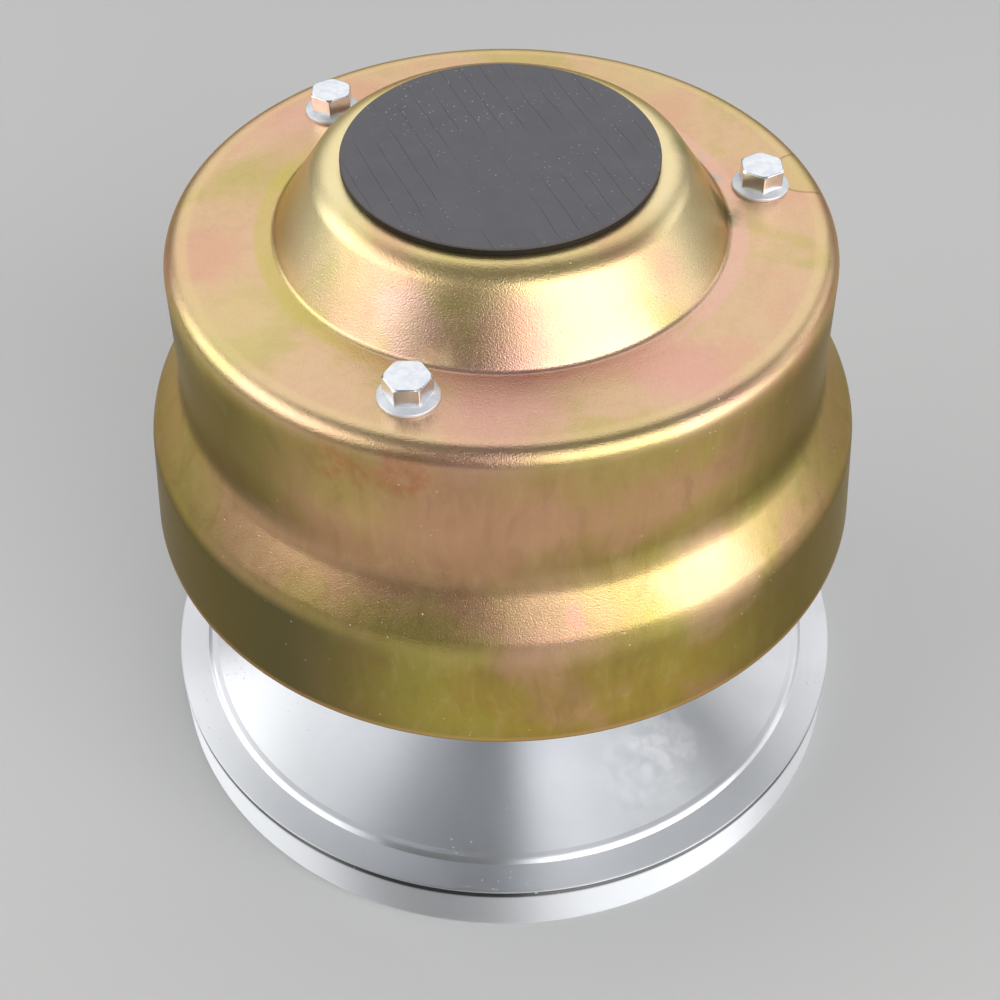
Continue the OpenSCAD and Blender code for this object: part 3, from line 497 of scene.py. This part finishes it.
# %% Build a finish
class Finish:
    """A material made node by node round one Principled shader."""

    def __init__(self, name, **fixed):
        self.material = bpy.data.materials.new(name)
        self.material.use_nodes = True
        self.tree = self.material.node_tree
        self.shader = self.tree.nodes["Principled BSDF"]
        self.place = self.add("ShaderNodeTexCoord", output="Object")
        self.feed(**fixed)

    def add(self, kind, settings=None, inputs=None, output=0):
        """Adds any node: its settings first, then the values or links of its sockets."""
        node = self.tree.nodes.new(kind)
        for key, value in (settings or {}).items():
            if key == "stops":
                self.set_stops(node.color_ramp, value)
            else:
                setattr(node, key, value)
        for key, value in (inputs or {}).items():
            self.connect(node.inputs[key], value)
        return Field(self, node.outputs[output])

    def set_stops(self, ramp, stops):
        while len(ramp.elements) < len(stops):
            ramp.elements.new(1)
        for element, (position, tone) in zip(ramp.elements, stops):
            element.position, element.color = position, tone

    def connect(self, socket, value):
        if isinstance(value, Field):
            self.tree.links.new(value.socket, socket)
        else:
            socket.default_value = value

    def feed(self, **values):
        """Sets or links the shader's own sockets, such as Base_Color or Roughness."""
        for key, value in values.items():
            self.connect(self.shader.inputs[key.replace("_", " ")], value)

    def noise(self, size, detail=2, rough=0.5, bend=0, place=None):
        """A soft cloud pattern whose blotches are about that many millimetres across."""
        return self.add("ShaderNodeTexNoise", {}, {
            "Vector": place or self.place, "Scale": 1 / (size * MM), "Detail": detail, "Roughness": rough,
            "Distortion": bend})

    def specks(self, spacing, radius):
        """Scattered dots: 1 on a dot and 0 between, both lengths in millimetres."""
        gap = self.add("ShaderNodeTexVoronoi", {}, {"Vector": self.place, "Scale": 1 / (spacing * MM)},
                       "Distance")
        return 1 - gap.ramp(radius / spacing * 0.6, radius / spacing)

    def mix(self, share, first, second):
        """The first colour, turning into the second where the share is 1."""
        return self.add("ShaderNodeMix", {"data_type": "RGBA"}, {0: share, 6: first, 7: second}, 2)

    def wavy(self, size, reach):
        """The place, pushed about by a noise, so that outlines drawn on it wander."""
        push = self.add("ShaderNodeTexNoise", {},
                        {"Vector": self.place, "Scale": 1 / (size * MM), "Detail": 3}, "Color")
        centred = self.add("ShaderNodeVectorMath", {"operation": "SUBTRACT"}, {0: push, 1: (0.5, 0.5, 0.5)})
        scaled = self.add("ShaderNodeVectorMath", {"operation": "SCALE"}, {0: centred, "Scale": reach * MM})
        return self.add("ShaderNodeVectorMath", {"operation": "ADD"}, {0: self.place, 1: scaled})

    def band(self, field, low, high, blur):
        """1 where the field lies between low and high, with soft ends."""
        return field.ramp(low - blur, low) * (1 - field.ramp(high, high + blur))

    def axes(self):
        """The distance from the shaft axis, the height and the place from left to right, in millimetres."""
        sides = self.add("ShaderNodeSeparateXYZ", {}, {0: self.place})
        x, y, z = (Field(self, out) for out in sides.socket.node.outputs)
        return (x * x + y * y) ** 0.5 / MM, z / MM, x / MM

    def near(self, spot, radius, blur, place=None):
        """1 round a spot given in millimetres, fading out over the blur's width."""
        away = self.add("ShaderNodeVectorMath", {"operation": "DISTANCE"},
                        {0: place or self.place, 1: [x * MM for x in spot]}, "Value")
        return 1 - (away / MM).ramp(radius - blur / 2, radius + blur / 2)

    def bump(self, height, depth, onto=None):
        """A relief of that depth in millimetres where the height goes from 0 to 1."""
        inputs = {"Height": height, "Distance": depth * MM, "Strength": 1}
        if onto:
            inputs["Normal"] = onto
        return self.add("ShaderNodeBump", {}, inputs)


def colour(red, green, blue):
    """A colour picked as 0 to 255 on a screen, in the linear values that shaders take."""
    return [((c / 255 + 0.055) / 1.055) ** 2.4 for c in (red, green, blue)] + [1]


def dress(piece, finish):
    """Puts a finish in each material slot of a piece."""
    if not piece.data.materials:
        piece.data.materials.append(finish.material)
    for slot in piece.material_slots:
        slot.material = finish.material


# %% [markdown]
# ## Yellow zinc
# The cover's plating is zinc under a thin chromate film. The film is a few hundred nanometres thick, and
# where its thickness changes, its colour drifts from olive gold through straw to pink and orange. A real
# thin-film shader would tie those colours to the angle of view, while the photograph shows them lying
# in patches, so broad noises mix them. A fine grain roughens the sheet, and small specks are dust.

# %% Mix the film's colours along the height
zinc = Finish("yellow_zinc", Metallic=1.0, Specular_Tint=colour(226, 204, 160),
              Coat_Weight=0.25, Coat_Roughness=0.3)
radius, height, across = zinc.axes()
flow = zinc.add("ShaderNodeVectorMath", {"operation": "MULTIPLY"}, {0: zinc.place, 1: (1, 1, 0.35)})
drift = zinc.noise(60, 2, 0.5)
swirl = zinc.noise(34, 4, 0.55, 0.3)
streaks = zinc.noise(5, 3, 0.6, 0.5, flow)

# The darker olive at 129 mm, along the concave bend above the shoulder, is painted shade.
film = [
    (81, colour(178, 148, 76)), (88, colour(190, 162, 72)), (106, colour(180, 154, 76)),
    (112, colour(200, 174, 102)), (122, colour(218, 186, 122)), (129, colour(168, 146, 76)),
    (140, colour(210, 176, 114)), (158, colour(196, 166, 102)), (164, colour(226, 192, 156)),
    (170, colour(224, 190, 146)), (178, colour(230, 200, 148)), (183, colour(234, 212, 148)),
]
bottom, top = film[0][0], film[-1][0]
share = (height + (drift - 0.5) * 10 - bottom) / (top - bottom)
tint = zinc.add("ShaderNodeValToRGB", {"stops": [((z - bottom) / (top - bottom), tone) for z, tone in film]},
                {0: share})
tint = zinc.mix(swirl.ramp(0.48, 0.62) * 0.45, tint, colour(226, 164, 146))
tint = zinc.mix((1 - swirl.ramp(0.36, 0.48)) * 0.45, tint, colour(186, 182, 84))
runs = 1 - height.ramp(155, 164) * 0.7
tint = zinc.mix(streaks.ramp(0.5, 0.75) * runs * 0.25, tint, colour(236, 206, 150))
tint = zinc.mix((1 - streaks.ramp(0.3, 0.5)) * runs * 0.25, tint, colour(150, 124, 72))

# %% [markdown]
# The two flanks of the wall are painted a deeper olive than its front, the left one more than the right:
# painted shade where the flanks mirror little light. A thicker film also lies along the bends: a straw line
# round the ring's border, and a pink one round the foot of the cone that turns yellow-green on the left. The
# cone's own flanks are painted paler than its front, a painted highlight, and the cut edge at the lip is
# painted dark, a painted shade.

# %% Paint shade on the flanks, a highlight on the cone, and line the bends
side = across / radius
below_ring = 1 - height.ramp(ring_z - 10, ring_z - 2)
skirt = 1 - height.ramp(108, 122)
shoulder = zinc.band(height, 112, 124, 4)
# Painted shade: the wall's left and right flanks are darkened towards deep olive, the left more than the
# right.
left_flank_shade = (0 - side).ramp(0.4, 0.8) * (1 - skirt) + (0 - side).ramp(0.1, 0.6) * skirt
right = side.ramp(0.5, 0.9) * (1 - skirt) + side.ramp(0.4, 0.8) * skirt
tint = zinc.mix(below_ring * left_flank_shade * (0.82 - shoulder * 0.62 + skirt * 0.18), tint, colour(102, 96, 62))
tint = zinc.mix(below_ring * right * (0.84 - shoulder * 0.44), tint, colour(106, 100, 62))
border = zinc.band(radius, 77, 79.5, 1.5) * (1 - below_ring)
tint = zinc.mix(border * 0.4, tint, colour(236, 212, 156))
foot_line = zinc.band(radius, 56.4, 59.5, 1.5)
foot_tone = zinc.mix(across.ramp(-40, -8), colour(206, 192, 96), colour(240, 190, 180))
tint = zinc.mix(foot_line * 0.5, tint, foot_tone)
# Painted highlight: the cone's left and right flanks are made paler, where the side lamps shine on it.
cone_flank_highlight = (side * side).ramp(0.45, 0.9) * (1 - radius.ramp(54, 56)) * (1 - below_ring)
tint = zinc.mix(cone_flank_highlight * 0.75, tint, colour(252, 238, 190))
# Painted shade: the sheet's cut edge at the lip is darkened almost to black.
lip_edge_shade = 1 - height.ramp(lip_z, lip_z + 0.5)
hem = 1 - height.ramp(lip_z + 0.8, lip_z + 2)
tint = zinc.mix(hem * 0.4, tint, zinc.mix(streaks, colour(250, 206, 120), colour(236, 164, 130)))
tint = zinc.mix(lip_edge_shade * 0.9, tint, colour(56, 46, 28))

# %% [markdown]
# Some marks sit where the photograph shows them: rosy and rust-red patches high on the front wall, a
# pink one on the shoulder, an oval stain near the right bolt and a blue-green run at the cone's foot.
# Each mark is a distance from a spot, measured on a wandering place so that its outline isn't round.

# %% Place the stains
wander = zinc.wavy(9, 14)
mottle = zinc.noise(4, 4, 0.7).ramp(0.35, 0.65)
marks = [  # place, radius and blur in millimetres, tone, strength
    ((-7, -82, 147), 20, 24, (210, 156, 124), 0.3), ((26, -79, 149), 14, 20, (208, 154, 120), 0.3),
    ((16.6, -86.2, 118.8), 3.2, 1.6, (236, 160, 142), 0.6), ((10, -92, 118), 14, 14, (232, 182, 160), 0.4),
    ((0, -68, 164.7), 14, 14, (228, 172, 164), 0.55), ((40, -56, 164.7), 10, 12, (232, 176, 166), 0.5),
    ((-50, 40, 164.7), 14, 16, (230, 178, 166), 0.5), ((70, 10, 164.7), 12, 14, (232, 184, 160), 0.4),
    ((4, -51, 171), 9, 8, (206, 150, 136), 0.4), ((-21, -46, 172), 8, 7, (244, 196, 190), 0.5),
    ((-62, -38, 164.7), 12, 14, (222, 206, 140), 0.4), ((36, 62, 164.7), 12, 16, (222, 206, 146), 0.4),
    ((54, 0, 168), 6, 5, (110, 122, 92), 0.8), ((52, 15, 167), 4, 5, (150, 184, 180), 0.6),
    ((45.5, 5, 180), 5, 5, (196, 196, 140), 0.6), ((49, 25, 167), 3, 5, (150, 184, 180), 0.6),
    ((43, 34, 167), 3, 5, (170, 190, 176), 0.5), ((50, -74, 118), 14, 12, (236, 192, 164), 0.5),
]
for spot, size, blur, tone, strength in marks:
    tint = zinc.mix(zinc.near(spot, size, blur, wander) * strength, tint, colour(*tone))
rust = zinc.near((-35, -75, 156), 6, 5, wander) + zinc.near((-22, -79, 157), 6, 5, wander)
tint = zinc.mix(rust * mottle * 0.45, tint, colour(198, 104, 70))
oval = zinc.wavy(20, 4)
stain = (77, 19, 164.7)
on_ring = height.ramp(ring_z - 1.5, ring_z - 0.3)
tint = zinc.mix(zinc.near(stain, 8.5, 0.6, oval) * on_ring * 0.5, tint, colour(214, 200, 130))
outline = zinc.near(stain, 9, 0.5, oval) - zinc.near(stain, 8.4, 0.5, oval)
tint = zinc.mix(outline * on_ring * 0.6, tint, colour(150, 120, 60))
print(len(marks) + 3, "marks on the cover")

# %% [markdown]
# The sheet was rolled and pickled before it was plated, so it has a fine grain that breaks up the edges
# of every reflection. A little dust lies on it, most of all low on the right of the skirt.

# %% Roughen and dust the cover
grain = zinc.noise(0.35, 1, 0.5)
dusty = zinc.noise(24).ramp(0.5, 0.6) + zinc.near((67, -66, 92), 6, 10) + zinc.near((88, -42, 100), 10, 14)
dust = zinc.specks(3, 0.25) * dusty
zinc.feed(Base_Color=zinc.mix(dust * 0.8, tint, colour(246, 240, 226)),
          Roughness=0.33 + (grain - 0.5) * 0.25 + dust * 0.4,
          Normal=zinc.bump(grain, 0.07))
dress(bell_cover, zinc)
print("the cover's finish has", len(zinc.tree.nodes), "nodes")

# %% [markdown]
# ## Turned aluminium
# The lathe leaves fine rings on the sheave. Each ring is a tiny groove that spreads light across it and
# keeps it narrow along it, and this draws the bright fans from the hub to the rim. Anisotropic shading
# gives those fans, and its default tangent already runs round the upright axis. Rings of noise that
# depend on the radius alone add the visible tool marks, and clouds of noise add the smudges of hands.

# %% Turn the aluminium finish
aluminium = Finish("turned_aluminium", Metallic=1.0, Anisotropic=0.95, Anisotropic_Rotation=0.25)
radius, height, _ = aluminium.axes()
rings = aluminium.add("ShaderNodeTexNoise", {"noise_dimensions": "1D"},
                      {"W": radius + height * 0.37, "Scale": 1.3, "Detail": 3, "Roughness": 0.8})
smudge = aluminium.noise(24, 4, 0.6, 0.6).ramp(0.45, 0.75)
bright = aluminium.mix(smudge * 0.15, colour(240, 242, 245), colour(214, 218, 224))

# %% [markdown]
# The groove of the rim is painted dark, a painted shade in the recess, and hands leave greasy prints on the
# belt face, dull and mottled. A finer noise breaks the print up, and a few white specks are dust again.

# %% Paint shade in the groove and print the face
# Painted shade: the rim's groove is darkened to a dull grey.
groove_shade = (aluminium.band(height, GROOVE_LOW + 0.05, GROOVE_HIGH - 0.05, 0.1)
          * (1 - radius.ramp(98.7, 98.95)) * radius.ramp(96, 97))
bright = aluminium.mix(groove_shade * 0.9, bright, colour(70, 69, 68))
rim = radius.ramp(98.6, 98.9)
wander = aluminium.wavy(6, 12)
mottle = aluminium.noise(4, 5, 0.75, 0.8).ramp(0.42, 0.6)
prints = (aluminium.near((47, -54, 22), 9, 9, wander) + aluminium.near((38, -63, 22), 12, 16) * 0.5) * mottle
dust = aluminium.specks(2, 0.28) * aluminium.noise(20).ramp(0.46, 0.6)
aluminium.feed(Base_Color=aluminium.mix(prints * 0.5 + dust * 0.8, bright, colour(252, 253, 255)),
               Roughness=(0.35 + (rings - 0.5) * 0.08 + smudge * 0.05 + prints * 0.16
                          + dust * 0.35 + rim * 0.25),
               Normal=aluminium.bump(rings, 0.002, aluminium.bump(dust, 0.05)))
dress(belt_sheave, aluminium)
print("the sheave's finish has", len(aluminium.tree.nodes), "nodes")

# %% [markdown]
# The bolts are plated with bright zinc, and their flanges are duller than their heads.

# %% Plate the bolts
plate = Finish("bright_zinc")
cloud = plate.noise(3, 3, 0.6)
grain = plate.noise(0.35, 2, 0.6)
_, height, _ = plate.axes()
flange = 1 - height.ramp(ring_z + 1.5, ring_z + 1.8)
plate.feed(Base_Color=plate.mix(cloud.ramp(0.4, 0.65), colour(236, 239, 243), colour(222, 227, 236)),
           Roughness=0.2 + cloud * 0.08 + flange * 0.25, Metallic=0.95 - flange * 0.35,
           Normal=plate.bump(grain, 0.004))
for head in bolts:
    dress(head, plate)
print("the bolts' finish has", len(plate.tree.nodes), "nodes")

# %% [markdown]
# ## Rubber
# The dust plug is moulded rubber: nearly black, with a dull sheen. Fine score lines run across it, and it
# gathers pale dust.

# %% Mould the rubber
rubber = Finish("black_rubber", Specular_IOR_Level=0.5)
radius, height, _ = rubber.axes()
cloud = rubber.noise(9, 4, 0.65, 0.4)
grain = rubber.noise(0.4, 2, 0.6)
black = rubber.mix(cloud, colour(84, 84, 89), colour(104, 104, 109))

# %% [markdown]
# The sheet that the disc was cut from carries fine parallel scores about 5 mm apart. The disc's side is
# painted far darker than the dusty face, a painted shade, and a brown line round its top corner is a painted
# reflection of the gold cover. White specks lie all over the face and most thickly at the upper left.

# %% Score and dust the face
SCORE_GAP = 5
slant = rubber.add("ShaderNodeVectorMath", {"operation": "DOT_PRODUCT"},
                   {0: rubber.place, 1: (0.92, 0.38, 0)}, "Value")
turns = slant / (SCORE_GAP * MM) + rubber.noise(12) * 0.3
score = (1 - turns.maths("PINGPONG", turns, 0.5).ramp(0.012, 0.03)) * rubber.noise(16).ramp(0.42, 0.6)
dusty = rubber.noise(10).ramp(0.45, 0.6) * 0.6 + rubber.near((-18, 18, 185), 10, 30)
dust = rubber.specks(1.4, 0.19) * dusty
# Painted shade: the disc's side is made near black.
plug_side_shade = (1 - height.ramp(land_z + 1.4, land_z + 1.6)) * radius.ramp(PLUG_R - 1, PLUG_R - 0.5)
# Painted reflection: a brown line round the top corner stands for the gold cover mirrored there.
corner = radius.ramp(PLUG_R - 0.4, PLUG_R - 0.15) * (1 - plug_side_shade)
tone = rubber.mix(score * 0.35, black, colour(40, 40, 44))
tone = rubber.mix(dust * 0.8, tone, colour(215, 217, 222))
tone = rubber.mix(corner * 0.6, tone, colour(96, 62, 42))
rubber.feed(Base_Color=rubber.mix(plug_side_shade, tone, colour(16, 15, 15)),
            Roughness=0.55 + cloud * 0.12, Normal=rubber.bump(grain, 0.02, rubber.bump(1 - score, 0.05)))
dress(dust_disc, rubber)
print("the plug's finish has", len(rubber.tree.nodes), "nodes")

# %% [markdown]
# ## Finishes of the hidden pieces
# The CAD pieces inside the cover keep their meshes and get a finish each, because they show through
# the gap between the sheaves, from below, and when the clutch is taken apart. The coil that was wound
# above gets the spring's finish.


# %% Finish the inner pieces
def metal(name, light, dark, rough, grain_size=0.5, depth=0.01):
    """A metal whose colour clouds between two tones, over a fine grain."""
    finish = Finish(name, Metallic=1.0)
    cloud, grain = finish.noise(9, 3, 0.6), finish.noise(grain_size, 2, 0.6)
    finish.feed(Base_Color=finish.mix(cloud.ramp(0.35, 0.65), light, dark),
                Roughness=rough + (grain - 0.5) * 0.15, Normal=finish.bump(grain, depth))
    return finish


inner = {
    "turned_aluminium": aluminium,
    "zinc_steel": plate,
    "post_steel": metal("ground_steel", colour(176, 178, 182), colour(150, 152, 158), 0.3),
    "hardened_steel": metal("hardened_steel", colour(150, 150, 154), colour(122, 122, 128), 0.28),
    "sleeve_steel": metal("polished_steel", colour(200, 202, 206), colour(180, 182, 188), 0.2),
    "spring_steel": metal("spring_steel", colour(96, 100, 112), colour(70, 72, 80), 0.35),
    "cast_spider": metal("cast_aluminium", colour(178, 178, 178), colour(150, 150, 152), 0.5, 0.8, 0.06),
    "weight_steel": metal("pressed_steel", colour(140, 138, 134), colour(112, 110, 108), 0.42, 0.7, 0.03),
    "bronze": metal("bronze", colour(196, 150, 92), colour(168, 122, 70), 0.35),
}
nylon = Finish("button_nylon")
cloud, grain = nylon.noise(4), nylon.noise(0.4)
nylon.feed(Base_Color=nylon.mix(cloud, colour(222, 214, 190), colour(206, 196, 168)),
           Roughness=0.4 + grain * 0.15, Normal=nylon.bump(grain, 0.01))
inner["button_plastic"] = nylon
inner["yellow_zinc_sheet"] = zinc
inner["black_rubber"] = rubber
print(len(inner), "finishes")

# %% Dress the coil, and every CAD node from the record's slots
dress(coil_spring, inner["spring_steel"])
for part in frame["record"]["subparts"]:
    dress(frame["nodes"][part["node"]], inner[part["material_slot"]])
print("dressed", len(frame["nodes"]), "CAD nodes")

# %% [markdown]
# ## Bench and light
# The clutch stands on a plain pale floor. Metal shows what is around it more than its own colour, so the
# lights are soft panels. A large one on each side lights the walls and the belt face. Behind the clutch,
# a high panel is what the flat ring mirrors, and a low wide one lights the far edges. Three small ones
# stand low at the front and on the right, where the cone and the shoulder mirror them. The camera
# doesn't see the panels themselves.

# %% Lay the floor
FLOOR_REACH = 3
floor_mesh = bmesh.new()
bmesh.ops.create_grid(floor_mesh, x_segments=1, y_segments=1, size=FLOOR_REACH)
floor = as_piece("floor", floor_mesh)
pale = Finish("pale_floor", Base_Color=colour(202, 202, 202), Roughness=0.8)
dress(floor, pale)

# %% Hang the soft panels
AIM = Vector((0, 0, 0.09))


def panel(name, azimuth, elevation, distance, width, height, power, roll=0):
    """A soft rectangular lamp; azimuth 0 is where the camera stands, and positive is to its right."""
    lamp = bpy.data.lights.new(name, "AREA")
    lamp.shape, lamp.size, lamp.size_y, lamp.energy = "RECTANGLE", width, height, power
    holder = bpy.data.objects.new(name, lamp)
    turn, rise = math.radians(azimuth - 90), math.radians(elevation)
    towards = Vector((math.cos(turn) * math.cos(rise), math.sin(turn) * math.cos(rise), math.sin(rise)))
    facing = towards.to_track_quat("Z", "Y").to_matrix().to_4x4()
    facing = facing @ Matrix.Rotation(math.radians(roll), 4, "Z")
    holder.matrix_world = Matrix.Translation(AIM + towards * distance) @ facing
    holder.visible_camera = False
    bpy.context.collection.objects.link(holder)
    print(f"{name}: {power} W at azimuth {azimuth}, elevation {elevation}")


panel("left_panel", -84, 32, 1.1, 1.4, 0.75, 7.4)
panel("right_panel", 43, 30, 1.1, 1.25, 0.75, 8.6, -35)
panel("front_panel", 18, 16, 1.1, 0.5, 0.24, 0.65)
panel("side_panel", 74, 7, 1.1, 1, 0.32, 1.8)
panel("rear_panel", 110, 24, 1.1, 0.6, 0.5, 1.1)
panel("back_panel", 180, 47, 1.5, 2.2, 1.4, 9)
panel("far_panel", 180, 14, 1.6, 3, 0.5, 1.2)

ROOM = 0.15
world = bpy.data.worlds.new("studio")
world.use_nodes = True
world.node_tree.nodes["Background"].inputs["Color"].default_value = (ROOM, ROOM, ROOM, 1)
bpy.context.scene.world = world
bpy.context.scene.view_settings.view_transform = "Standard"
